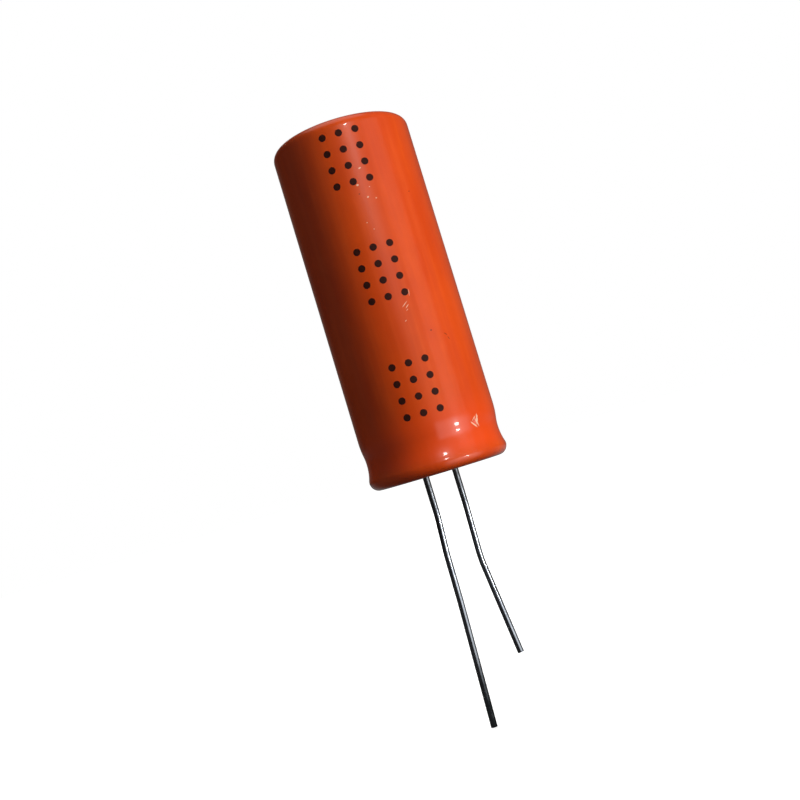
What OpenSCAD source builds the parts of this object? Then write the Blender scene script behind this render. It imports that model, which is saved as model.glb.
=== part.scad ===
// Radial aluminium electrolytic capacitor, as a bench teardown: shrink sleeve,
// deep-drawn can, rubber end seal, two tab terminals with welded wire leads,
// and the wound element of two foils, two papers and a closing tape.
// The origin is the centre of the seating plane. The can points up, the leads down.

/* [Can] */
// Outside diameter of the bare can
can_d = 12.5; // [11.5:0.1:14]
// Height of the bare can, rolled rim to closed end
can_h = 32.1; // [28:0.1:40]
// Thickness of the drawn side wall
can_wall = 0.3; // [0.2:0.02:0.4]
// Thickness of the closed end
crown_t = 0.4; // [0.3:0.05:0.6]
// Outside rounding where the closed end meets the side
crown_r = 0.8; // [0.6:0.05:1.5]

/* [Safety vent] */
// Number of score lines that cross on the closed end
score_count = 2; // [1:1:3]
// Length of each score line
score_l = 7.6; // [4:0.1:8.5]
// Width of a score line at the surface
score_w = 0.5; // [0.2:0.05:0.8]
// Depth of a score line
score_depth = 0.2; // [0.1:0.02:0.28]

/* [Rolled groove and rim] */
// Height at which the side starts to draw in above the groove
groove_top = 4.7; // [4.2:0.1:5.4]
// Depth of the groove below the side of the can
groove_depth = 0.7; // [0.5:0.05:0.9]
// Radius of the roller that made the groove
groove_r = 1; // [0.7:0.05:1.3]
// Outside radius of the curled rim
curl_r = 0.6; // [0.5:0.02:0.7]
// How far the rim stands proud of the side
rim_flare = 0.07; // [0:0.01:0.15]

/* [Shrink sleeve] */
// Wall of the shrunk sleeve
sleeve_t = 0.18; // [0.1:0.01:0.25]
// How far the sleeve sinks in where it bridges the groove
waist_depth = 0.18; // [0.1:0.01:0.3]
// Radius of that shallow waist
waist_r = 4.5; // [3.5:0.1:6]
// Width of the flat lip that the sleeve turns in under the rim
foot_lip = 0.45; // [0.2:0.05:0.6]
// Width of the sleeve's lip on the closed end, past the rounding
crown_lip = 0.7; // [0.3:0.05:1.2]

/* [End seal] */
// Top of the rubber plug above the seating plane
seal_top = 5.6; // [5.5:0.1:7]
// Height of the plug's outer face above the lowest point of the metal rim
seal_recess = 0.42; // [0.3:0.02:0.5]
// Height of the narrow throat below each boss
throat_h = 0.6; // [0.4:0.05:0.9]
// Clearance between the weld bead and its throat, all round
throat_gap = 0.06; // [0.03:0.01:0.12]

/* [Terminals] */
// Distance between the two leads
lead_pitch = 5; // [4.6:0.1:5.6]
// Diameter of the round boss that seals in the plug
boss_d = 1.9; // [1.6:0.05:2.2]
// Length of the pressed taper between boss and paddle
taper_h = 1.1; // [0.8:0.05:1.6]
// Thickness of the flattened paddle
paddle_t = 0.2; // [0.15:0.01:0.25]
// Length of the paddle that lies inside the winding
paddle_h = 20; // [14:0.5:20]

/* [Leads] */
// Diameter of the tinned wire
lead_d = 0.6; // [0.5:0.05:0.8]
// Radius of the weld bead where it meets the boss
weld_r = 0.5; // [0.46:0.02:0.6]
// How far the tip of the weld bead shows outside the plug
weld_proud = 0.06; // [0.03:0.01:0.12]
// Length of the anode wire below the seating plane, along the wire
anode_l = 22.8; // [18:0.1:30]
// Length of the cathode wire below the seating plane, along the wire
cathode_l = 18; // [16:0.1:25]
// Radius of the gentle bends in both wires
bend_r = 12; // [10:0.5:16]
// Direction that the wires lean in, from the line through both leads
lean_heading = -56.4; // [-90:0.1:90]

/* [Winding] */
// Thickness of the etched anode foil
anode_t = 0.1; // [0.08:0.01:0.12]
// Thickness of the etched cathode foil
cathode_t = 0.05; // [0.03:0.01:0.07]
// Thickness of each separator paper
paper_t = 0.06; // [0.04:0.01:0.08]
// Radius of the bore left by the winding pin
core_r = 1.15; // [1:0.05:1.3]
// How far each paper stands past the foils at both ends
paper_margin = 1; // [0.5:0.1:1.5]
// Space between the tapers of the terminals and the winding
base_gap = 0.15; // [0.1:0.05:0.5]
// Space between the winding and the closed end
head_gap = 0.8; // [0.4:0.1:1.5]
// Space between the winding and the side of the can
side_gap = 0.2; // [0.15:0.05:0.4]
// Thickness of the closing tape
tape_t = 0.05; // [0.03:0.01:0.08]
// Width of the bare winding above and below the tape
tape_margin = 5; // [3:0.5:8]

/* [Hidden] */

$fn = 96;
far = 100;

// Straight run before each bend of a wire, and the angle of that bend
anode_runs = [3.3, 2.9, 3.9];
anode_bends = [-3.2, 2.5, -1.1];
cathode_runs = [3.3, 4.3];
cathode_bends = [-1.3, 7.5];

// Lap of a bend over the straights that it joins, and how much thicker it is, all round
bend_lap = 0.05;
bend_swell = 0.004;

// How far the round stretches of a profile cross, where they would otherwise only touch
arc_lap = 0.0001;

// How much wider than the wire the weld bead is at its tip, all round
bead_lip = 0.02;

// Chamfer that eases the mouth of each hole in the plug
hole_ease = 0.1;

// Sweep of each paddle round the winding, and of the layers' rise over it, to either side
paddle_half = 30;
paddle_fade = 30;

// The press that shapes a taper: its reach past the boss as a share of the boss's radius,
// its sweep round the winding to either side, and its thin edge as a share of the paddle
press_reach = 1.3;
press_half = 45;
press_edge = 0.4;

// The can's outline, as radius and height
can_r = can_d / 2;
rim_r = can_r + rim_flare;
can_top = sleeve_t + can_h;
curl_at = [rim_r - curl_r, sleeve_t + curl_r];

// The plug and the wires' way out of it
seal_bottom = sleeve_t + seal_recess;
weld_z = seal_bottom + throat_h;
weld_tip_z = seal_bottom - weld_proud;
tab_at = lead_pitch / 2;

// The winding: layers from the inside out, then the height and number of turns
layer_t = [anode_t, paper_t, cathode_t, paper_t];
layer_base = [0, anode_t, anode_t + paper_t, anode_t + paper_t + cathode_t];
turn_t = anode_t + cathode_t + 2 * paper_t;
winding_z0 = seal_top + taper_h + base_gap;
winding_z1 = can_top - crown_t - head_gap;
winding_h = winding_z1 - winding_z0;
winding_r = can_r - can_wall - side_gap - tape_t;
turns = floor((winding_r - core_r - paddle_t) / turn_t) - 1;
winding_step = 15;
winding_end = 360 * turns;
foil_start = 180;
foil_end = winding_end - 180;

// Each tab lies on its foil, where that foil passes over the tab's own boss
ANODE = 0;
INNER_PAPER = 1;
CATHODE = 2;
OUTER_PAPER = 3;
tab_turn = max(1, round((tab_at - paddle_t / 2 - core_r) / turn_t - 0.5));
anode_tab_angle = 360 * tab_turn + 180;
cathode_tab_angle = 360 * tab_turn;

function smooth(x) = x <= 0 ? 0 : x >= 1 ? 1 : x * x * (3 - 2 * x);

// Share of a paddle's thickness by which a layer is lifted where it crosses that paddle
function lift(angle, layer, tab_angle, tab_layer) =
    let (turn = round((angle - tab_angle) / 360), off = abs(angle - tab_angle - 360 * turn))
    turn < 0 || (turn == 0 && layer <= tab_layer) ? 0
    : smooth((paddle_half + paddle_fade - off) / paddle_fade);

// Inner and outer radius of a layer at an angle counted on from the start of the winding
function inner_r(angle, layer) =
    core_r + turn_t * angle / 360 + layer_base[layer]
    + paddle_t * (lift(angle, layer, anode_tab_angle, ANODE)
                  + lift(angle, layer, cathode_tab_angle, CATHODE));
function outer_r(angle, layer) = inner_r(angle, layer) + layer_t[layer];

function polar(r, angle) = [r * cos(angle), r * sin(angle)];
function steps_down(a, b) = [for (angle = [b : -winding_step : a]) angle];
function steps_up(a, b) = [for (angle = [a : winding_step : b]) angle];

// Outline of one layer of the winding, out along its outer face and back along its inner one
function strip(layer, a, b) = concat(
    [for (angle = steps_up(a, b)) polar(outer_r(angle, layer), angle)],
    [for (angle = steps_down(a, b)) polar(inner_r(angle, layer), angle)]);

// Half section from height z0 to z1, with its top outer corner rounded
module capped(r, z0, z1, corner_r) {
    translate([0, z0]) square([r, z1 - z0 - corner_r]);
    translate([0, z0]) square([r - corner_r, z1 - z0]);
    translate([r - corner_r, z1 - corner_r]) circle(corner_r);
}

// Half section between the curl's centre and groove_top, drawn in by a round waist
// that runs smoothly into the side above it and into the rounded rim below it
module waisted(side_r, depth, roller_r, foot_r, inset) {
    roller_x = side_r - depth + roller_r;
    roller_z = curl_at.y + sqrt(pow(roller_r + foot_r, 2) - pow(roller_x - curl_at.x, 2));
    rise = groove_top - roller_z;
    shoulder_r = (rise * rise + depth * depth) / (2 * depth) - roller_r;
    shoulder_x = side_r - shoulder_r;
    difference() {
        intersection() {
            translate([0, curl_at.y]) square([far, groove_top - curl_at.y]);
            union() {
                translate([shoulder_x, groove_top]) circle(shoulder_r - inset);
                translate(curl_at) circle(foot_r - inset);
                polygon([[min(0, shoulder_x), curl_at.y], curl_at, [roller_x, roller_z],
                         [shoulder_x, groove_top], [min(0, shoulder_x), groove_top]]);
            }
        }
        translate([roller_x, roller_z]) circle(roller_r + inset + arc_lap);
    }
}

// Lower half of a ring about the curl's centre
module curl_ring(outer, inner) {
    translate(curl_at) difference() {
        circle(outer);
        circle(inner);
        translate([-far, 0]) square(2 * far);
    }
}

module can_outside() {
    waisted(can_r, groove_depth, groove_r, curl_r, 0);
    capped(can_r, groove_top, can_top, crown_r);
}

module can_inside() {
    waisted(can_r, groove_depth, groove_r, curl_r, can_wall);
    capped(can_r - can_wall, groove_top, can_top - crown_t, crown_r - can_wall);
}

module sleeve() {
    foot_r = curl_r + sleeve_t;
    side_r = can_r + sleeve_t;
    open_r = can_r - crown_r - crown_lip;
    color("orangered") rotate_extrude() {
        difference() {
            union() {
                waisted(side_r, waist_depth, waist_r, foot_r, 0);
                capped(side_r, groove_top, can_top + sleeve_t, crown_r + sleeve_t);
            }
            waisted(side_r, waist_depth, waist_r, foot_r, sleeve_t);
            capped(can_r, groove_top, can_top, crown_r);
            square([open_r, far]);
        }
        intersection() {
            curl_ring(foot_r, curl_r);
            translate([curl_at.x, 0]) square(far);
        }
        translate([curl_at.x - foot_lip, 0]) square([foot_lip, sleeve_t]);
    }
}

module can() {
    color("gainsboro") difference() {
        rotate_extrude() {
            difference() {
                can_outside();
                can_inside();
            }
            curl_ring(curl_r, curl_r - can_wall);
        }
        translate([0, 0, can_top]) vent_scores();
    }
}

// V-shaped score lines, their open side a little above the face that they cut
module vent_scores() {
    over = score_depth / 2;
    mouth = score_w / 2 * (score_depth + over) / score_depth;
    for (i = [0 : score_count - 1])
        rotate([90, 0, 45 + i * 180 / score_count])
            linear_extrude(score_l, center = true)
                polygon([[-mouth, over], [0, -score_depth], [mouth, over]]);
}

// The plug fills the can's mouth, the waist of the groove and the inside of the curl
module end_seal() {
    color("dimgray") difference() {
        rotate_extrude() {
            waisted(can_r, groove_depth, groove_r, curl_r, can_wall);
            translate([0, groove_top]) square([can_r - can_wall, seal_top - groove_top]);
            translate([0, seal_bottom])
                square([curl_at.x - curl_r, curl_at.y - seal_bottom]);
            curl_ring(curl_r - can_wall, 0);
        }
        for (side = [-1, 1]) translate([side * tab_at, 0, 0]) terminal_hole();
    }
}

// Bore for the boss, and below it a throat for the weld bead with an eased mouth
module terminal_hole() {
    throat_r = weld_r + throat_gap;
    translate([0, 0, weld_z]) cylinder(h = far, d = boss_d);
    cylinder(h = far, r = throat_r);
    translate([0, 0, seal_bottom - hole_ease])
        cylinder(h = 2 * hole_ease, r1 = throat_r + 2 * hole_ease, r2 = throat_r);
}

// Tapered weld bead, and the wire from inside it down and on along its bends
module lead(length, runs, bends) {
    bead_h = weld_z - weld_tip_z;
    translate([0, 0, weld_tip_z])
        cylinder(h = bead_h, r1 = lead_d / 2 + bead_lip, r2 = weld_r);
    translate([0, 0, -runs[0]]) cylinder(h = runs[0] + weld_tip_z + bead_h / 2, d = lead_d);
    rotate([0, 0, lean_heading]) translate([0, 0, -runs[0]])
        bent_wire(length - runs[0], runs, bends, 0);
}

// One bend, the straight after it, and then the rest of the wire. A bend laps over the
// straights at both of its ends and is thicker than them by the few microns it is drawn out
module bent_wire(length, runs, bends, i) {
    turn = bends[i];
    side = sign(turn);
    arc_l = bend_r * abs(turn) * PI / 180;
    lap = asin(bend_lap / bend_r);
    last = i == len(bends) - 1;
    run = last ? length - arc_l : runs[i + 1];
    mirror([side > 0 ? 0 : 1, 0, 0]) translate([bend_r, 0, 0]) rotate([-90, 0, 180])
        rotate([0, 0, -lap]) rotate_extrude(angle = abs(turn) + 2 * lap)
            translate([bend_r, 0]) circle(d = lead_d + 2 * bend_swell);
    translate([side * bend_r, 0, 0]) rotate([0, -turn, 0]) translate([-side * bend_r, 0, 0]) {
        translate([0, 0, -run]) cylinder(h = run, d = lead_d);
        if (!last) translate([0, 0, -run])
            bent_wire(length - arc_l - run, runs, bends, i + 1);
    }
}

module anode_lead() {
    color("lightsteelblue") translate([-tab_at, 0, 0]) lead(anode_l, anode_runs, anode_bends);
}

module cathode_lead() {
    color("lightsteelblue") translate([tab_at, 0, 0]) lead(cathode_l, cathode_runs, cathode_bends);
}

// Boss, pressed taper and the curved paddle that lies on its foil
module tab(tab_angle, tab_layer) {
    boss_r = boss_d / 2;
    taper_top = seal_top + taper_h;
    paddle_root = taper_top - taper_h / 4;
    paddle_mid = outer_r(tab_angle, tab_layer) + paddle_t / 2;
    half_w = polar(paddle_mid, paddle_half).y;
    edge = paddle_t * press_edge / 2;
    press_in = tab_at - boss_r * press_reach;
    press_out = tab_at + boss_r * press_reach;
    sweep = steps_up(tab_angle - paddle_half, tab_angle + paddle_half);
    back = steps_down(tab_angle - paddle_half, tab_angle + paddle_half);
    // The press leaves the round boss as it is and squeezes the taper towards the paddle
    rotate([0, 0, tab_angle]) intersection() {
        translate([tab_at, 0, 0]) rotate_extrude()
            polygon([[0, weld_z], [boss_r, weld_z], [boss_r, seal_top],
                     [half_w, taper_top], [0, taper_top]]);
        rotate([0, 0, -press_half]) rotate_extrude(angle = 2 * press_half)
            polygon([[press_in, 0], [press_out, 0], [press_out, seal_top],
                     [paddle_mid + edge, taper_top], [paddle_mid - edge, taper_top],
                     [press_in, seal_top]]);
    }
    translate([0, 0, paddle_root]) linear_extrude(winding_z0 + paddle_h - paddle_root)
        polygon(concat(
            [for (a = sweep) polar(outer_r(a, tab_layer) + paddle_t, a)],
            [for (a = back) polar(outer_r(a, tab_layer), a)]));
}

module anode_tab() {
    color("silver") tab(anode_tab_angle, ANODE);
}

module cathode_tab() {
    color("silver") tab(cathode_tab_angle, CATHODE);
}

module foil(layer) {
    translate([0, 0, winding_z0 + paper_margin]) linear_extrude(winding_h - 2 * paper_margin)
        polygon(strip(layer, foil_start, foil_end));
}

module separator(layer) {
    translate([0, 0, winding_z0]) linear_extrude(winding_h)
        polygon(strip(layer, 0, winding_end));
}

module anode_foil() {
    color("darkgray") foil(ANODE);
}

module cathode_foil() {
    color("lightgray") foil(CATHODE);
}

module inner_separator() {
    color("wheat") separator(INNER_PAPER);
}

module outer_separator() {
    color("burlywood") separator(OUTER_PAPER);
}

// One wrap of tape round the last turn, stepping down where the papers end
module winding_tape() {
    wrap = steps_up(winding_end - 360 + winding_step, winding_end);
    color("peru") translate([0, 0, winding_z0 + tape_margin])
        linear_extrude(winding_h - 2 * tape_margin) difference() {
            polygon([for (a = wrap) polar(outer_r(a, OUTER_PAPER) + tape_t, a)]);
            polygon([for (a = wrap) polar(outer_r(a, OUTER_PAPER), a)]);
        }
}

sleeve();
can();
end_seal();
anode_lead();
cathode_lead();
anode_tab();
cathode_tab();
anode_foil();
inner_separator();
cathode_foil();
outer_separator();
winding_tape();
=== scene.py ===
"""Radial aluminium electrolytic capacitor in a glossy orange shrink sleeve, its two
tinned leads gently bent, held upright over a plain white floor."""

import math

import bpy
from mathutils import Matrix, Vector, noise


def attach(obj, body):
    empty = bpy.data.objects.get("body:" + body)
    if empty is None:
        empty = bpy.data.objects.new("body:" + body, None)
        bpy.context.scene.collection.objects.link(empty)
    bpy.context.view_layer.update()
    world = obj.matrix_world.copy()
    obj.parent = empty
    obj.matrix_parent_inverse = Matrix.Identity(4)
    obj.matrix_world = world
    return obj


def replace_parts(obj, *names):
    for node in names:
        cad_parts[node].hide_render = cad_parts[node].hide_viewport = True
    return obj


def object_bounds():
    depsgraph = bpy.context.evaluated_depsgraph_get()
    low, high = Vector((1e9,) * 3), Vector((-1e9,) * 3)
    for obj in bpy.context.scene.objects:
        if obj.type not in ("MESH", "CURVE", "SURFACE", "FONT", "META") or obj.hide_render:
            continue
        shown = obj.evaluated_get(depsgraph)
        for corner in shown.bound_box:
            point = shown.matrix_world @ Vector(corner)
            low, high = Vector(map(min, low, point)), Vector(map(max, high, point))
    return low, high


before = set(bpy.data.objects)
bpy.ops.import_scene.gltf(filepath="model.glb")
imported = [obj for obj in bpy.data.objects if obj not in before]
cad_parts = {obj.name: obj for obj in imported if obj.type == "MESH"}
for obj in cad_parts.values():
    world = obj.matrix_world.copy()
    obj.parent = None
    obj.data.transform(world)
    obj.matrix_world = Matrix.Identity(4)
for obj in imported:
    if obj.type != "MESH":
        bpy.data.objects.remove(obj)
cad_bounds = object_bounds()

MM = 0.001

# Heading of the camera round the part, and what it frames, in degrees and metres
VIEW_HEADING = -56.36
CAMERA_DISTANCE = 105.1 * MM
CAMERA_HEIGHT = 1.5 * MM
CAMERA_PAN = 0.88
CAMERA_PITCH = 3.212
CAMERA_ROLL = -16.898
LENS_MM = 51.75

# Shrink sleeve, in millimetres: heights from the seating plane, radii from the axis
FILM_T = 0.18
SIDE_R = 6.43
SLEEVE_TOP = 32.46
RIM_CENTRE = (5.64, 0.86)
RIM_ROUND = 0.86
WAIST_ROUND = 5.0
WAIST_DEPTH = 0.18
WAIST_TOP = 4.7
CROWN_ROUND = 0.98
OPENING_R = 4.75
FOOT_LIP = 0.37

# Steps of the sleeve's section: along its lips and arcs, and in millimetres up its side
FOOT_STEPS = 3
RIM_STEPS = 24
WAIST_STEPS = 24
SHOULDER_STEPS = 12
CROWN_STEPS = 20
LIP_STEPS = 4
WALL_STEP = 0.315
INNER_WALL_STEP = 2.0

# Unevenness of the shrunk film, in millimetres: ripples of the side, and the lip on the
# closed end, which wavers from LIP_START inwards and puckers. The rest say how often the
# noise behind each one changes, round the part and for each millimetre up it
SIDE_ZONE = 0.6
RIPPLE_DEPTH = 0.006
RIPPLE_ROUND = 2.5
RIPPLE_RISE = 0.10
LIP_ZONE = 0.5
LIP_START = 5.45
LIP_FADE = 0.7
LIP_WAVER = 0.16
LIP_WAVER_ROUND = 3
PUCKER_DEPTH = 0.02
PUCKER_ROUND = 9

# Steps of the sleeve's mesh round the axis, and the polarity stripe that follows them,
# in degrees from the cathode's side, with its minus signs in millimetres up the side
FILM_STEPS = 360
STRIPE_HALF = 12.0
MINUS_HALF = 3.0
MINUS_LENGTH = 2.5
MINUS_PITCH = 5.375
MINUS_FIRST = 4.5
MINUS_END = 30.5

# Plain printed dots, in three like groups down the side: the height of each group's first
# row, the azimuths of its columns, the spacing of its rows, the radius and sides of a dot,
# and how deep it is sunk and how far it stands out
GROUP_TOPS = (30.9, 20.4, 9.9)
DOT_AZIMUTHS = (-12.4, 1.0, 14.4)
DOT_ROWS = 4
DOT_PITCH = 1.5
DOT_R = 0.32
DOT_SIDES = 24
CUT_MERGE = 1e-5
INK_MERGE = 0.0001
INK_SUNK = 0.014
INK_PROUD = 0.004

# Small marks of the film: azimuth, height, length, width and tilt from level, in
# degrees and millimetres. The light ones from 13 to 16 mm up are scratches. Those from
# 21.9 to 27.4 mm up are painted glints, pale specks where the film sparkles in the high
# lamp's reflection. The last four, on the waist, are the pleat's stress-whitened creases
# with its glint painted along them. Dark ones are scuffs
SCRATCHES_AND_PAINTED_GLINTS = (
    (11.5, 14.87, 0.66, 0.07, 38), (12.9, 14.64, 0.46, 0.07, 40), (12.2, 14.34, 0.26, 0.04, 38),
    (8.6, 13.45, 0.20, 0.07, 30), (3.4, 26.0, 0.22, 0.18, 0), (8.8, 27.4, 0.26, 0.13, 20),
    (8.5, 24.75, 0.20, 0.14, 30), (14.6, 24.5, 0.14, 0.12, 0), (12.0, 25.6, 0.10, 0.08, 0),
    (2.0, 22.6, 0.12, 0.08, 0), (5.8, 21.9, 0.08, 0.10, 0), (17.4, 15.75, 0.60, 0.06, 82),
    (43.7, 3.60, 0.92, 0.22, 78), (39.7, 3.23, 0.90, 0.15, -46), (40.6, 3.73, 0.58, 0.10, 40),
    (43.2, 3.31, 0.78, 0.17, -64),
)
DARK_MARKS = (
    (26.0, 12.1, 0.20, 0.15, 0), (38.0, 11.5, 0.36, 0.09, -38), (39.8, 11.1, 0.32, 0.08, -62),
    (45.4, 24.6, 0.14, 0.10, 30), (-12.0, 20.6, 0.16, 0.10, 0), (2.8, 25.2, 0.16, 0.10, 0),
)

# A small three-cornered pleat of the film in the waist: azimuth and height of its corners,
# how far it turns towards the camera's side, how far from its middle it can reach, and
# over what width its edges fade
PLEAT_CORNERS = ((44.7, 3.94), (36.6, 3.45), (43.8, 2.95))
PLEAT_TURN = 13.0
PLEAT_REACH = 1.2
PLEAT_FADE = 0.1

# Leads, in millimetres and degrees: straight runs down from the seating plane, then bends
LEAD_PITCH = 5.0
LEAD_R = 0.3
LEAN_HEADING = -56.4
BEND_R = 12.0
WELD_TOP = 1.2
WELD_TIP = 0.54
WELD_R = 0.5
BEAD_STEPS = 6
BEAD_EDGE = 0.02
LEAD_SIDES = 36
STRAIGHT_STEP = 1.5
BEND_STEPS_PER_DEGREE = 2
LEADS = {
    "anode_lead": dict(side=-1, length=22.8, runs=(3.3, 2.9, 3.9), bends=(-3.2, 2.5, -1.1)),
    "cathode_lead": dict(side=1, length=18.0, runs=(3.3, 4.3), bends=(-1.3, 7.5)),
}

# Noise is read between these two values, which it seldom passes
NOISE_LOW = 0.3
NOISE_HIGH = 0.7

# Floor, in metres: its radius, and the distances over which its glow makes up for the lamps
FLOOR_R = 3.0
FLOOR_GAP = 0.02 * MM
GLOW_NEAR = 0.03
GLOW_FAR = 0.25
AMBIENT = 0.19

# Lamps: degrees to the right of the camera's side, degrees up, millimetres and watts. The
# first two light everything but gloss, the last two are seen in gloss alone
LAMPS = {
    "key": dict(azimuth=56, elevation=15, distance=450, width=220, height=260, watts=2.15,
                gloss=False, aim=14.0),
    "back": dict(azimuth=190, elevation=35, distance=450, width=300, height=300, watts=1.6,
                 gloss=False, aim=14.0),
    "high_glint": dict(azimuth=16.6, elevation=24, distance=500, width=45, height=36,
                       watts=0.26, gloss=True, aim=1.7),
    "low_glint": dict(azimuth=47.5, elevation=-11.0, distance=82, width=10, height=4,
                      watts=0.0065, gloss=True, aim=3.3),
}

# The drum of cards that gloss shows, in millimetres, and the brightness of its walls and
# its floor, each as (azimuth, level). Its floor is dark up to the part and dims again far
# from it, and its lid is bright in the middle
SURROUND_R = 600
SURROUND_TALL = 1100
SURROUND_SIDES = 120
SURROUND_DROP = 0.01
SURROUND_END = 1
CARD_NEAR = (8, 60)
CARD_FAR = (450, 200)
CARD_FAR_LEAST = 0.3
LID_EDGE = (600, 440)
DARK_CARD = (0.02, 0.02, 0.02, 1)
LID_CARD = (0.7, 0.7, 0.7, 1)
CARD_WALLS = (
    (-180, 0.13), (-165, 0.12), (-150, 0.04), (-135, 0.008), (0, 0.008), (8, 0.07),
    (14, 0.16), (28, 0.28), (40, 0.14), (52, 0.05), (67, 0.05), (70, 0.34), (73, 0.08),
    (88, 0.22), (102, 0.08), (120, 0.10), (150, 0.09), (162, 0.11), (180, 0.13),
)
CARD_FLOORS = (
    (-180, 0.25), (-120, 0.03), (8, 0.03), (20, 1.2), (62, 1.2), (85, 0.12), (130, 0.2),
    (180, 0.25),
)


# ---------------------------------------------------------------- modelling helpers

def deselect():
    """Leaves nothing selected and no object being edited."""
    if bpy.context.mode != "OBJECT":
        bpy.ops.object.mode_set(mode="OBJECT")
    bpy.ops.object.select_all(action="DESELECT")


def edit(obj):
    """Opens obj alone in edit mode."""
    deselect()
    obj.select_set(True)
    bpy.context.view_layer.objects.active = obj
    bpy.ops.object.mode_set(mode="EDIT")


def select_all_mesh():
    """Selects all of the mesh that is being edited."""
    bpy.ops.mesh.select_mode(type="VERT")
    bpy.ops.mesh.select_all(action="SELECT")


def close_and_orient(obj, merge_mm=0.0005):
    """Merges doubles and turns every face outwards."""
    edit(obj)
    select_all_mesh()
    bpy.ops.mesh.remove_doubles(threshold=merge_mm * MM)
    bpy.ops.mesh.normals_make_consistent(inside=False)
    deselect()


def finish_piece(obj, name, material):
    """Names a finished piece, gives it its material and lets it ride on the part."""
    obj.name = name
    obj.data.name = name
    obj.data.materials.clear()
    obj.data.materials.append(material)
    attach(obj, "root")


def smooth(obj, degrees):
    """Shades obj smooth, but for edges sharper than degrees."""
    deselect()
    obj.select_set(True)
    bpy.context.view_layer.objects.active = obj
    bpy.ops.object.shade_smooth_by_angle(angle=math.radians(degrees))
    deselect()


def arc(centre, radius, start, end, steps):
    """Points in degrees along an arc, both ends included, as (radius, height)."""
    turns = [math.radians(start + (end - start) * i / steps) for i in range(steps + 1)]
    return [(centre[0] + radius * math.cos(a), centre[1] + radius * math.sin(a)) for a in turns]


def turned(outline, steps):
    """Spins a closed outline of (radius, height) in millimetres once round the axis."""
    deselect()
    bpy.ops.mesh.primitive_circle_add(vertices=len(outline), radius=MM)
    obj = bpy.context.object
    for vertex, (r, z) in zip(obj.data.vertices, outline):
        vertex.co = Vector((r * MM, 0, z * MM))
    edit(obj)
    select_all_mesh()
    bpy.ops.mesh.spin(steps=steps, angle=2 * math.pi, center=(0, 0, 0), axis=(0, 0, 1))
    close_and_orient(obj)
    return obj


# ---------------------------------------------------------------- materials

def srgb(hex_colour):
    """Linear colour of an sRGB hex value."""
    parts = [int(hex_colour[i:i + 2], 16) / 255 for i in (1, 3, 5)]
    linear = [c / 12.92 if c <= 0.04045 else ((c + 0.055) / 1.055) ** 2.4 for c in parts]
    return (*linear, 1.0)


def add(tree, kind, links=None, **settings):
    """Adds a node. links maps its inputs to sockets or values; settings are its properties."""
    node = tree.nodes.new(kind)
    for key, value in settings.items():
        setattr(node, key, value)
    for key, value in (links or {}).items():
        if isinstance(value, bpy.types.NodeSocket):
            tree.links.new(value, node.inputs[key])
        else:
            node.inputs[key].default_value = value
    return node


def new_material(name):
    """An empty material with its output, its principled shader and its object coordinates."""
    material = bpy.data.materials.new(name)
    material.use_nodes = True
    tree = material.node_tree
    tree.nodes.clear()
    shader = add(tree, "ShaderNodeBsdfPrincipled")
    add(tree, "ShaderNodeOutputMaterial", {"Surface": shader.outputs[0]})
    place = add(tree, "ShaderNodeTexCoord").outputs["Object"]
    return material, tree, shader, place


def grain(tree, place, size_mm, stretch=(1, 1, 1), detail=3.0):
    """Noise whose features are about size_mm wide, drawn out by stretch."""
    scale = [1 / (size_mm * MM * s) for s in stretch]
    mapped = add(tree, "ShaderNodeMapping", {"Vector": place, "Scale": scale})
    return add(tree, "ShaderNodeTexNoise",
               {"Vector": mapped.outputs[0], "Scale": 1.0, "Detail": detail}).outputs["Fac"]


def ramp(tree, factor, low, high, stops=(0.35, 0.65)):
    """Colour that runs from low to high as factor passes the two stops."""
    node = add(tree, "ShaderNodeValToRGB", {"Fac": factor})
    for element, stop, colour in zip(node.color_ramp.elements, stops, (low, high)):
        element.position = stop
        element.color = colour
    return node.outputs["Color"]


def spread(tree, factor, low, high):
    """Value that runs from low to high with factor."""
    return add(tree, "ShaderNodeMapRange",
               {"Value": factor, "From Min": NOISE_LOW, "From Max": NOISE_HIGH,
                "To Min": low, "To Max": high}).outputs["Result"]


def bump(tree, height, depth_mm, normal=None):
    """A normal that height works up by depth_mm at most, on top of an earlier one."""
    links = {"Height": height, "Strength": 1.0, "Distance": depth_mm * MM}
    if normal:
        links["Normal"] = normal
    return add(tree, "ShaderNodeBump", links).outputs["Normal"]


def blend_colours(tree, factor, first, second):
    """Colour between two, by factor."""
    node = add(tree, "ShaderNodeMix", data_type="RGBA")
    for place, value in ((0, factor), (6, first), (7, second)):
        socket = node.inputs[place]
        if isinstance(value, bpy.types.NodeSocket):
            tree.links.new(value, socket)
        else:
            socket.default_value = value
    return node.outputs[2]


def mark_mask(tree, place, marks):
    """1 inside any of the small elongated marks on the film, fading over their edges."""
    total = None
    for azimuth, height, length, width, tilt in marks:
        spot = on_film(height, azimuth)
        turn = math.radians(VIEW_HEADING - 90 + azimuth)
        frame_of_mark = (Matrix.Rotation(turn + math.pi / 2, 4, "Z")
                         @ Matrix.Rotation(math.radians(-tilt), 4, "Y"))
        local = add(tree, "ShaderNodeMapping", {
            "Vector": place, "Location": spot, "Rotation": frame_of_mark.to_euler(),
            "Scale": (length / 2 * MM, 0.5 * MM, width / 2 * MM)}, vector_type="TEXTURE")
        reach = add(tree, "ShaderNodeVectorMath", {0: local.outputs[0]}, operation="LENGTH")
        inside = add(tree, "ShaderNodeMapRange", {
            "Value": reach.outputs["Value"], "From Min": 1.2, "From Max": 0.6}).outputs["Result"]
        total = inside if total is None else add(
            tree, "ShaderNodeMath", {0: total, 1: inside}, operation="MAXIMUM").outputs[0]
    return total


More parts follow.
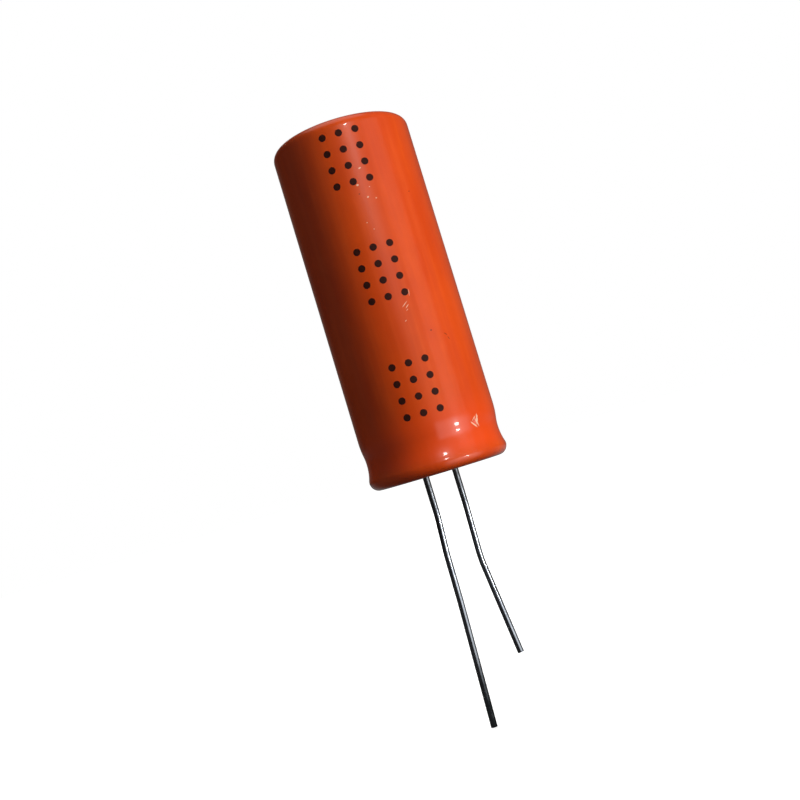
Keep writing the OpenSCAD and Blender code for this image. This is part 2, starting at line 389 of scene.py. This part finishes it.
def shrink_film():
    """Heat-shrunk PVC film over bright metal: deep orange, glossy, with faint streaks along
    the tube where it was drawn and a softer gloss than the clear skin that lies on it."""
    material, tree, shader, place = new_material("heat_shrunk_pvc_orange")
    streaks = grain(tree, place, 0.5, (1, 1, 24))
    clouds = grain(tree, place, 3.5, (1, 1, 2.5), 2.0)
    mottle = grain(tree, place, 0.9, (1, 1, 1.6), 2.0)
    base = ramp(tree, clouds, srgb("#DC4300"), srgb("#EE5302"))
    thin = ramp(tree, streaks, srgb("#E24900"), srgb("#F05806"), (0.45, 0.75))
    colour = blend_colours(tree, 0.4, base, thin)
    colour = blend_colours(tree, spread(tree, mottle, 0.0, 0.14), colour, srgb("#C83E00"))
    # Over the groove, where the film lies clear of the metal, it is made a brighter orange
    height = add(tree, "ShaderNodeSeparateXYZ", {0: place}).outputs[2]
    above = add(tree, "ShaderNodeMapRange", {
        "Value": height, "From Min": 0.6 * MM, "From Max": 2.0 * MM},
        interpolation_type="SMOOTHSTEP").outputs["Result"]
    below = add(tree, "ShaderNodeMapRange", {
        "Value": height, "From Min": 7.0 * MM, "From Max": 2.8 * MM},
        interpolation_type="SMOOTHSTEP").outputs["Result"]
    groove = add(tree, "ShaderNodeMath", {0: above, 1: below}, operation="MULTIPLY").outputs[0]
    colour = blend_colours(tree, groove, colour, srgb("#F24B04"))
    # Scratches, plus painted glints: pale specks of the high lamp's sparkle on the side, and the
    # glint along the pleat's stress-whitened creases
    light = mark_mask(tree, place, SCRATCHES_AND_PAINTED_GLINTS)
    dark = mark_mask(tree, place, DARK_MARKS)
    colour = blend_colours(tree, dark, colour, srgb("#8E1E00"))
    # This pale colour paints the scratches, the glint specks and the glinting creases of the
    # pleat
    colour = blend_colours(tree, light, colour, srgb("#FFC8A6"))
    tree.links.new(colour, shader.inputs["Base Color"])
    tree.links.new(spread(tree, streaks, 0.30, 0.38), shader.inputs["Roughness"])
    shader.inputs["Coat Weight"].default_value = 0.75
    shader.inputs["Coat Roughness"].default_value = 0.06
    shader.inputs["IOR"].default_value = 1.53
    normal = bump(tree, streaks, 0.004, bump(tree, clouds, 0.03))
    tree.links.new(normal, shader.inputs["Normal"])
    tree.links.new(normal, shader.inputs["Coat Normal"])
    return material


def printing_ink():
    """Screen-printed brown-black ink: thin, much less glossy than the film under it."""
    material, tree, shader, place = new_material("screen_printed_black_ink")
    patches = grain(tree, place, 0.25)
    tree.links.new(ramp(tree, patches, srgb("#2C0A03"), srgb("#3A1206")),
                   shader.inputs["Base Color"])
    tree.links.new(spread(tree, patches, 0.5, 0.65), shader.inputs["Roughness"])
    shader.inputs["Specular IOR Level"].default_value = 0.3
    return material


def tinned_wire():
    """Tin-plated steel wire: bright grey with fine drawing lines along it, dulled in patches."""
    material, tree, shader, place = new_material("tin_plated_steel_wire")
    lines = grain(tree, place, 0.06, (1, 1, 30))
    patches = grain(tree, place, 1.2)
    tree.links.new(ramp(tree, patches, srgb("#A9AFB8"), srgb("#C3C9D1")),
                   shader.inputs["Base Color"])
    tree.links.new(spread(tree, patches, 0.14, 0.24), shader.inputs["Roughness"])
    shader.inputs["Metallic"].default_value = 1.0
    tree.links.new(bump(tree, lines, 0.002), shader.inputs["Normal"])
    return material


def satin_aluminium():
    """Deep-drawn aluminium: pale, satin, with fine marks of the drawing die."""
    material, tree, shader, place = new_material("deep_drawn_aluminium")
    fine = grain(tree, place, 0.05, (1, 1, 20))
    clouds = grain(tree, place, 1.5)
    tree.links.new(ramp(tree, clouds, srgb("#C9CBCD"), srgb("#D9DADB")),
                   shader.inputs["Base Color"])
    tree.links.new(spread(tree, fine, 0.3, 0.42), shader.inputs["Roughness"])
    shader.inputs["Metallic"].default_value = 1.0
    tree.links.new(bump(tree, fine, 0.002), shader.inputs["Normal"])
    return material


def moulded_rubber():
    """Compression-moulded black rubber: matt, with a fine eroded-mould grain."""
    material, tree, shader, place = new_material("moulded_black_rubber")
    fine = grain(tree, place, 0.08)
    tree.links.new(ramp(tree, fine, srgb("#19191A"), srgb("#242425")),
                   shader.inputs["Base Color"])
    tree.links.new(spread(tree, fine, 0.6, 0.75), shader.inputs["Roughness"])
    tree.links.new(bump(tree, fine, 0.01), shader.inputs["Normal"])
    return material


def etched_foil(name, dark, light):
    """Etched aluminium foil: its pitted surface scatters light, so it looks matt grey."""
    material, tree, shader, place = new_material(name)
    pits = grain(tree, place, 0.04)
    tree.links.new(ramp(tree, pits, srgb(dark), srgb(light)),
                   shader.inputs["Base Color"])
    shader.inputs["Metallic"].default_value = 1.0
    tree.links.new(spread(tree, pits, 0.55, 0.7), shader.inputs["Roughness"])
    return material


def kraft_paper():
    """Kraft capacitor paper wet with electrolyte: tan, fibrous, a little shiny."""
    material, tree, shader, place = new_material("wet_kraft_paper")
    fibres = grain(tree, place, 0.08, (1, 1, 6))
    tree.links.new(ramp(tree, fibres, srgb("#B79A68"), srgb("#CDB383")),
                   shader.inputs["Base Color"])
    tree.links.new(spread(tree, fibres, 0.4, 0.6), shader.inputs["Roughness"])
    return material


def amber_film():
    """Polypropylene closing tape: amber, smooth and slightly see-through in hue."""
    material, tree, shader, place = new_material("amber_polypropylene_film")
    clouds = grain(tree, place, 1.5)
    tree.links.new(ramp(tree, clouds, srgb("#B07A2C"), srgb("#C08A3A")),
                   shader.inputs["Base Color"])
    tree.links.new(spread(tree, clouds, 0.25, 0.35), shader.inputs["Roughness"])
    return material


def pressed_aluminium():
    """Pressed plain aluminium: bright, with faint lines across from the press."""
    material, tree, shader, place = new_material("pressed_plain_aluminium")
    lines = grain(tree, place, 0.06, (12, 12, 1))
    tree.links.new(ramp(tree, lines, srgb("#C5C7C9"), srgb("#D5D6D7")),
                   shader.inputs["Base Color"])
    shader.inputs["Metallic"].default_value = 1.0
    tree.links.new(spread(tree, lines, 0.28, 0.4), shader.inputs["Roughness"])
    return material


# ---------------------------------------------------------------- sleeve

def film_profile(inset, wall_step=WALL_STEP):
    """One face of the film as (radius, height), from the lip under the rim up over the side
    to the lip on the closed end. inset is 0 outside and the film's thickness inside."""
    roller_x = SIDE_R - WAIST_DEPTH + WAIST_ROUND
    reach = RIM_ROUND + WAIST_ROUND
    roller_z = RIM_CENTRE[1] + math.sqrt(reach ** 2 - (roller_x - RIM_CENTRE[0]) ** 2)
    rise = WAIST_TOP - roller_z
    shoulder_r = (rise ** 2 + WAIST_DEPTH ** 2) / (2 * WAIST_DEPTH) - WAIST_ROUND
    shoulder = (SIDE_R - shoulder_r, WAIST_TOP)
    low = math.degrees(math.atan2(roller_z - RIM_CENTRE[1], roller_x - RIM_CENTRE[0]))
    high = math.degrees(math.atan2(roller_z - shoulder[1], roller_x - shoulder[0]))
    crown = (SIDE_R - CROWN_ROUND, SLEEVE_TOP - CROWN_ROUND)
    walls = round((crown[1] - WAIST_TOP) / wall_step)
    wall = [(SIDE_R - inset, WAIST_TOP + (crown[1] - WAIST_TOP) * i / walls)
            for i in range(1, walls)]
    return (
        [(RIM_CENTRE[0] - FOOT_LIP * (FOOT_STEPS - i) / FOOT_STEPS, inset)
         for i in range(FOOT_STEPS)]
        + arc(RIM_CENTRE, RIM_ROUND - inset, -90, low, RIM_STEPS)
        + arc((roller_x, roller_z), WAIST_ROUND + inset, low + 180, high + 180,
              WAIST_STEPS)[1:]
        + arc(shoulder, shoulder_r - inset, high, 0, SHOULDER_STEPS)[1:]
        + wall
        + arc(crown, CROWN_ROUND - inset, 0, 90, CROWN_STEPS)
        + [(OPENING_R + (crown[0] - OPENING_R) * i / LIP_STEPS, SLEEVE_TOP - inset)
           for i in reversed(range(LIP_STEPS))]
    )


def on_film(climb, azimuth, proud=0.0):
    """A place on the film's outer face in metres. climb is the height on the straight side,
    carried on round the rounded ends along the face. azimuth is from the camera's side."""
    skin = film_profile(0)
    level = next(i for i, (r, z) in enumerate(skin) if z >= WAIST_TOP - 1e-6)
    left = climb - WAIST_TOP
    step = 1 if left >= 0 else -1
    left = abs(left)
    while True:
        (r0, z0), (r1, z1) = skin[level], skin[level + step]
        run = math.hypot(r1 - r0, z1 - z0)
        if left <= run:
            break
        left -= run
        level += step
    share = left / run
    out = ((z1 - z0) / run * step, (r0 - r1) / run * step)
    r = r0 + (r1 - r0) * share + out[0] * proud
    z = z0 + (z1 - z0) * share + out[1] * proud
    turn = math.radians(VIEW_HEADING - 90 + azimuth)
    return Vector((r * math.cos(turn), r * math.sin(turn), z)) * MM


def azimuth_of(point):
    """Degrees to the right of the camera's side, from -180 to 180."""
    turn = math.degrees(math.atan2(point.y, point.x)) - VIEW_HEADING + 90
    return (turn + 180) % 360 - 180


def ease(share):
    """Runs from 0 to 1 as share does, and starts and ends softly."""
    share = min(max(share, 0.0), 1.0)
    return share * share * (3 - 2 * share)


def pleat_height(point):
    """How far a small flat fold of the film, between three corners, stands off the waist."""
    corners = [(math.radians(azimuth) * SIDE_R, height) for azimuth, height in PLEAT_CORNERS]
    spot = (math.radians(azimuth_of(point)) * SIDE_R, point.z / MM)
    centre = [sum(c[i] for c in corners) / 3 for i in (0, 1)]
    if math.dist(spot, centre) > PLEAT_REACH:
        return 0.0
    depths = []
    for (x0, y0), (x1, y1) in zip(corners, corners[1:] + corners[:1]):
        side = math.dist((x0, y0), (x1, y1))
        depths.append(((x1 - x0) * (spot[1] - y0) - (y1 - y0) * (spot[0] - x0)) / side)
    slope = math.tan(math.radians(PLEAT_TURN))
    return slope * (spot[0] - centre[0]) * ease(min(depths) / PLEAT_FADE + 0.5)


def shape_film(mesh):
    """Works the small unevenness of a shrunk film into the turned shell."""
    for vertex in mesh.vertices:
        co = vertex.co
        r = math.hypot(co.x, co.y)
        turn = math.atan2(co.y, co.x)
        # Unevenness of the side, always inwards, so that the shell stays inside its outline
        ripple = noise.noise(Vector((math.cos(turn) * RIPPLE_ROUND,
                                     math.sin(turn) * RIPPLE_ROUND,
                                     co.z / MM * RIPPLE_RISE)))
        move = -RIPPLE_DEPTH * (1 + ripple)
        move += pleat_height(co)
        if r > (SIDE_R - SIDE_ZONE) * MM:
            outward = Vector((co.x, co.y, 0)) / r
            vertex.co += outward * move * MM
        elif co.z > (SLEEVE_TOP - LIP_ZONE) * MM:
            # The lip on the closed end shrinks to an uneven edge with shallow puckers
            share = ease((LIP_START - r / MM) / LIP_FADE)
            edge = noise.noise(Vector((math.cos(turn) * LIP_WAVER_ROUND,
                                       math.sin(turn) * LIP_WAVER_ROUND, 7.0)))
            pucker = noise.noise(Vector((math.cos(turn) * PUCKER_ROUND,
                                         math.sin(turn) * PUCKER_ROUND, 3.0)))
            outward = Vector((co.x, co.y, 0)) / r
            vertex.co += outward * share * LIP_WAVER * edge * MM
            vertex.co.z -= share * PUCKER_DEPTH * (1 + pucker) * MM


def mark_stripe(mesh):
    """Gives the faces of the polarity stripe, less its minus signs, the second material."""
    for face in mesh.polygons:
        centre = face.center
        off = abs(math.degrees(math.atan2(centre.y, centre.x)))
        height = centre.z / MM
        climb = (height - MINUS_FIRST) % MINUS_PITCH
        sign = off < MINUS_HALF and climb < MINUS_LENGTH and MINUS_FIRST < height < MINUS_END
        outside = (face.normal.dot(Vector((centre.x, centre.y, 0))) > 0
                   or centre.z > (SLEEVE_TOP - FILM_T / 2) * MM)
        face.material_index = 1 if off < STRIPE_HALF and outside and not sign else 0


def make_sleeve(ink):
    """The sleeve: its closed section turned once round, with the stripe in ink."""
    outline = film_profile(0) + film_profile(FILM_T, INNER_WALL_STEP)[::-1]
    obj = turned(outline, FILM_STEPS)
    shape_film(obj.data)
    smooth(obj, 40)
    finish_piece(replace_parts(obj, "sleeve"), "shrink_film", shrink_film())
    obj.data.materials.append(ink)
    mark_stripe(obj.data)


def make_dot():
    """One flat round dot in millimetres, as a thin closed solid, cut into strips that are
    narrow enough to bend round the sleeve."""
    deselect()
    bpy.ops.mesh.primitive_circle_add(vertices=DOT_SIDES, radius=DOT_R, fill_type="NGON")
    obj = bpy.context.object
    edit(obj)
    select_all_mesh()
    bpy.ops.mesh.extrude_region_move(
        TRANSFORM_OT_translate={"value": (0, 0, INK_SUNK + INK_PROUD)})
    for share in (-0.5, 0.0, 0.5):
        select_all_mesh()
        bpy.ops.mesh.bisect(plane_co=(0, share * DOT_R, 0), plane_no=(0, 1, 0),
                            threshold=CUT_MERGE)
    deselect()
    return obj


def make_dots(ink):
    """Three like groups of plain printed dots, each a grid, sunk a little into the film."""
    dot = make_dot()
    pieces = []
    for top in GROUP_TOPS:
        for row in range(DOT_ROWS):
            for azimuth in DOT_AZIMUTHS:
                piece = dot.copy()
                piece.data = dot.data.copy()
                bpy.context.scene.collection.objects.link(piece)
                for v in piece.data.vertices:
                    around = azimuth + math.degrees(v.co.y / SIDE_R)
                    climb = top - row * DOT_PITCH - v.co.x
                    v.co = on_film(climb, around, v.co.z - INK_SUNK)
                pieces.append(piece)
    bpy.data.objects.remove(dot)
    for piece in pieces:
        piece.select_set(True)
    bpy.context.view_layer.objects.active = pieces[0]
    bpy.ops.object.join()
    dots = bpy.context.object
    close_and_orient(dots, INK_MERGE)
    finish_piece(dots, "printed_dots", ink)


# ---------------------------------------------------------------- leads

def extrude_ring(step):
    """Carries the selected ring on by one step of the tube."""
    bpy.ops.mesh.extrude_region_move(TRANSFORM_OT_translate={"value": step})


def make_lead(name, material, side, length, runs, bends):
    """A lead from the top of its weld bead to its cut end. It leans towards +X while it is
    made, and is then turned to its heading and moved to its hole."""
    deselect()
    bpy.ops.mesh.primitive_circle_add(vertices=LEAD_SIDES, radius=WELD_R * MM,
                                      location=(0, 0, WELD_TOP * MM))
    obj = bpy.context.object
    edit(obj)
    select_all_mesh()
    # The weld bead narrows to a small edge on the wire
    bead_h = WELD_TOP - WELD_TIP
    radius = WELD_R
    for i in range(1, BEAD_STEPS + 1):
        share = i / BEAD_STEPS
        new_radius = LEAD_R + BEAD_EDGE + (WELD_R - LEAD_R - BEAD_EDGE) * (1 - share)
        extrude_ring((0, 0, -bead_h / BEAD_STEPS * MM))
        bpy.ops.transform.resize(value=(new_radius / radius, new_radius / radius, 1))
        radius = new_radius
    extrude_ring((0, 0, 0))
    bpy.ops.transform.resize(value=(LEAD_R / radius, LEAD_R / radius, 1))
    spot = Vector((0, 0, WELD_TIP))
    lean = 0.0
    straight = [runs[0] + WELD_TIP] + list(runs[1:])
    total_arc = sum(BEND_R * math.radians(abs(b)) for b in bends)
    straight.append(length - sum(runs) - total_arc)
    for run, bend in zip(straight, list(bends) + [None]):
        heading = Vector((math.sin(lean), 0, -math.cos(lean)))
        pieces = max(1, round(run / STRAIGHT_STEP))
        for _ in range(pieces):
            extrude_ring(heading * (run / pieces) * MM)
        spot += heading * run
        if bend is None:
            break
        side_of_bend = 1 if bend > 0 else -1
        across = Vector((math.cos(lean), 0, math.sin(lean))) * side_of_bend
        centre = spot + across * BEND_R
        turn = math.radians(bend)
        bpy.ops.mesh.spin(steps=max(3, round(abs(bend) * BEND_STEPS_PER_DEGREE)), angle=turn,
                          center=centre * MM, axis=(0, 1, 0))
        lean += turn
        spot = centre - Vector((math.cos(lean), 0, math.sin(lean))) * side_of_bend * BEND_R
    # Both open ends are closed, the cut end first
    bpy.ops.mesh.edge_face_add()
    bpy.ops.mesh.select_all(action="DESELECT")
    bpy.ops.mesh.select_non_manifold()
    bpy.ops.mesh.edge_face_add()
    deselect()
    obj.rotation_euler.z = math.radians(LEAN_HEADING)
    obj.location.x = side * LEAD_PITCH / 2 * MM
    obj.select_set(True)
    bpy.ops.object.transform_apply(location=True, rotation=True, scale=True)
    close_and_orient(obj)
    smooth(obj, 50)
    finish_piece(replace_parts(obj, name), "tinned_" + name, material)


# ---------------------------------------------------------------- stage, lights and camera

def make_floor():
    """A plain floor just under the tip of the long lead. The camera, gloss and glass see it
    white with its shadow, and it lights the part no more than a grey floor would."""
    deselect()
    tip = cad_bounds[0][2]
    bpy.ops.mesh.primitive_circle_add(vertices=96, radius=FLOOR_R, fill_type="NGON",
                                      location=(0, 0, tip - FLOOR_GAP))
    floor = bpy.context.object
    floor.name = "floor"
    material = bpy.data.materials.new("white_floor")
    material.use_nodes = True
    tree = material.node_tree
    tree.nodes.clear()
    matt = add(tree, "ShaderNodeBsdfDiffuse", {"Color": srgb("#E8E8E8")})
    dim = add(tree, "ShaderNodeBsdfDiffuse", {"Color": srgb("#5A5A5A")})
    # The floor glows more the further it is from the part, as the lamps reach it less
    place = add(tree, "ShaderNodeTexCoord").outputs["Object"]
    away = add(tree, "ShaderNodeVectorMath", {0: place}, operation="LENGTH").outputs["Value"]
    level = add(tree, "ShaderNodeMapRange", {
        "Value": away, "From Min": GLOW_NEAR, "From Max": GLOW_FAR, "To Min": 0.6,
        "To Max": 1.0}).outputs["Result"]
    glow = add(tree, "ShaderNodeEmission", {"Color": srgb("#FFFFFF"), "Strength": level})
    both = add(tree, "ShaderNodeAddShader", {0: matt.outputs[0], 1: glow.outputs[0]})
    shader = add(tree, "ShaderNodeMixShader",
                 {0: seen_rays(tree), 1: dim.outputs[0], 2: both.outputs[0]})
    add(tree, "ShaderNodeOutputMaterial", {"Surface": shader.outputs[0]})
    floor.data.materials.append(material)


def seen_rays(tree):
    """1 for what the camera sees straight, in gloss or through glass, and 0 for the rest."""
    path = add(tree, "ShaderNodeLightPath")
    total = path.outputs["Is Camera Ray"]
    for other in ("Is Glossy Ray", "Is Transmission Ray"):
        total = add(tree, "ShaderNodeMath", {0: total, 1: path.outputs[other]},
                    operation="ADD", use_clamp=True).outputs[0]
    return total


def make_world():
    """White for the camera, gloss and glass, and a dim fill of the same white for the rest."""
    world = bpy.data.worlds.new("white_ground")
    bpy.context.scene.world = world
    world.use_nodes = True
    tree = world.node_tree
    tree.nodes.clear()
    dim = add(tree, "ShaderNodeBackground", {"Color": srgb("#FFFFFF"), "Strength": AMBIENT})
    white = add(tree, "ShaderNodeBackground", {"Color": srgb("#FFFFFF"), "Strength": 1.0})
    shader = add(tree, "ShaderNodeMixShader",
                 {0: seen_rays(tree), 1: dim.outputs[0], 2: white.outputs[0]})
    add(tree, "ShaderNodeOutputWorld", {"Surface": shader.outputs[0]})


def from_view(azimuth, elevation, distance_mm, height_mm):
    """A point distance_mm from the axis height_mm up, azimuth degrees to the right of the
    camera's side."""
    turn = math.radians(VIEW_HEADING - 90 + azimuth)
    rise = math.radians(elevation)
    level = distance_mm * math.cos(rise)
    return Vector((level * math.cos(turn), level * math.sin(turn),
                   height_mm + distance_mm * math.sin(rise))) * MM


def add_lamp(name, azimuth, elevation, distance, width, height, watts, gloss, aim):
    """A soft rectangular lamp that faces the axis aim millimetres up, seen either in gloss
    alone or in everything but gloss."""
    light = bpy.data.lights.new(name, "AREA")
    light.shape = "RECTANGLE"
    light.size = width * MM
    light.size_y = height * MM
    light.energy = watts
    lamp = bpy.data.objects.new(name, light)
    bpy.context.scene.collection.objects.link(lamp)
    lamp.location = from_view(azimuth, elevation, distance, aim)
    beam = Vector((0, 0, aim * MM)) - lamp.location
    lamp.rotation_euler = beam.to_track_quat("-Z", "Y").to_euler()
    lamp.visible_glossy = gloss
    lamp.visible_diffuse = not gloss
    lamp.visible_camera = False


def brightness_round(tree, share, levels, tint):
    """Tinted brightness by azimuth, given as (azimuth, level) from -180 to 180."""
    node = add(tree, "ShaderNodeValToRGB", {"Fac": share})
    node.color_ramp.interpolation = "EASE"
    stops = node.color_ramp.elements
    while len(stops) < len(levels):
        stops.new(0.5)
    for stop, (azimuth, level) in zip(stops, levels):
        stop.position = (azimuth + 180) / 360
        stop.color = (*(level * c for c in tint[:3]), 1)
    return node.outputs["Color"]


def add_surround():
    """The studio as gloss shows it: a drum of cards round the part, dark but for a soft
    window, with a floor that is bright in front of it away from the part and a lid that is
    bright in the middle. It hides the white ground from gloss, and from nothing else."""
    deselect()
    foot = cad_bounds[0][2] - SURROUND_DROP * MM
    bpy.ops.mesh.primitive_cylinder_add(
        vertices=SURROUND_SIDES, radius=SURROUND_R * MM, depth=SURROUND_TALL * MM,
        end_fill_type="NGON", location=(0, 0, foot + SURROUND_TALL / 2 * MM))
    drum = bpy.context.object
    drum.name = "gloss_surround"
    drum.rotation_euler.z = math.radians(VIEW_HEADING - 90)
    material = bpy.data.materials.new("studio_cards")
    material.use_nodes = True
    tree = material.node_tree
    tree.nodes.clear()
    place = add(tree, "ShaderNodeTexCoord").outputs["Object"]
    east, north, up = add(tree, "ShaderNodeSeparateXYZ", {0: place}).outputs
    turn = add(tree, "ShaderNodeMath", {0: north, 1: east}, operation="ARCTAN2")
    share = add(tree, "ShaderNodeMapRange", {
        "Value": turn.outputs[0], "From Min": -math.pi, "From Max": math.pi}).outputs["Result"]
    flat = add(tree, "ShaderNodeCombineXYZ", {0: east, 1: north})
    away = add(tree, "ShaderNodeVectorMath", {0: flat.outputs[0]},
               operation="LENGTH").outputs["Value"]
    near = add(tree, "ShaderNodeMapRange", {
        "Value": away, "From Min": CARD_NEAR[0] * MM, "From Max": CARD_NEAR[1] * MM},
        interpolation_type="SMOOTHSTEP").outputs["Result"]
    far = add(tree, "ShaderNodeMapRange", {
        "Value": away, "From Min": CARD_FAR[0] * MM, "From Max": CARD_FAR[1] * MM,
        "To Min": CARD_FAR_LEAST}).outputs["Result"]
    clear = add(tree, "ShaderNodeMath", {0: near, 1: far}, operation="MULTIPLY").outputs[0]
    middle = add(tree, "ShaderNodeMapRange", {
        "Value": away, "From Min": LID_EDGE[0] * MM, "From Max": LID_EDGE[1] * MM},
        interpolation_type="SMOOTHSTEP").outputs["Result"]
    overhead = blend_colours(tree, middle, DARK_CARD, LID_CARD)
    floor = blend_colours(tree, clear, DARK_CARD,
                          brightness_round(tree, share, CARD_FLOORS, srgb("#FFFFFF")))
    low = add(tree, "ShaderNodeMath", {0: up, 1: (SURROUND_END - SURROUND_TALL / 2) * MM},
              operation="LESS_THAN").outputs[0]
    lid = add(tree, "ShaderNodeMath", {0: up, 1: (SURROUND_TALL / 2 - SURROUND_END) * MM},
              operation="GREATER_THAN").outputs[0]
    walls = brightness_round(tree, share, CARD_WALLS, srgb("#FFF6E6"))
    colour = blend_colours(tree, lid, blend_colours(tree, low, walls, floor), overhead)
    card = add(tree, "ShaderNodeEmission", {"Color": colour, "Strength": 1.0})
    add(tree, "ShaderNodeOutputMaterial", {"Surface": card.outputs[0]})
    drum.data.materials.append(material)
    for ray in ("camera", "diffuse", "transmission", "shadow", "volume_scatter"):
        setattr(drum, "visible_" + ray, False)


def make_camera():
    """The camera at its heading, panned, pitched and rolled to frame the part."""
    data = bpy.data.cameras.new("camera")
    data.lens = LENS_MM
    data.clip_start = 0.001
    camera = bpy.data.objects.new("camera", data)
    bpy.context.scene.collection.objects.link(camera)
    around = math.radians(VIEW_HEADING)
    position = Vector((CAMERA_DISTANCE * math.sin(around), -CAMERA_DISTANCE * math.cos(around),
                       CAMERA_HEIGHT))
    camera.matrix_world = (
        Matrix.Translation(position)
        @ Matrix.Rotation(around + math.radians(CAMERA_PAN), 4, "Z")
        @ Matrix.Rotation(math.radians(90 + CAMERA_PITCH), 4, "X")
        @ Matrix.Rotation(math.radians(CAMERA_ROLL), 4, "Z")
    )
    bpy.context.scene.camera = camera


bpy.context.scene.view_settings.view_transform = "Standard"

make_camera()
ink = printing_ink()
make_sleeve(ink)
make_dots(ink)
wire = tinned_wire()
for lead_name, facts in LEADS.items():
    make_lead(lead_name, wire, **facts)

paper = kraft_paper()
tab_metal = pressed_aluminium()
for node, material in {
    "can": satin_aluminium(),
    "end_seal": moulded_rubber(),
    "anode_tab": tab_metal,
    "cathode_tab": tab_metal,
    "anode_foil": etched_foil("etched_and_formed_anode_foil", "#7E8183", "#8F9294"),
    "cathode_foil": etched_foil("etched_cathode_foil", "#9A9C9E", "#ACAEB0"),
    "inner_separator": paper,
    "outer_separator": paper,
    "winding_tape": amber_film(),
}.items():
    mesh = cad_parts[node].data
    mesh.materials.clear()
    mesh.materials.append(material)

make_floor()
make_world()
add_surround()
for lamp_name, facts in LAMPS.items():
    add_lamp(lamp_name, **facts)
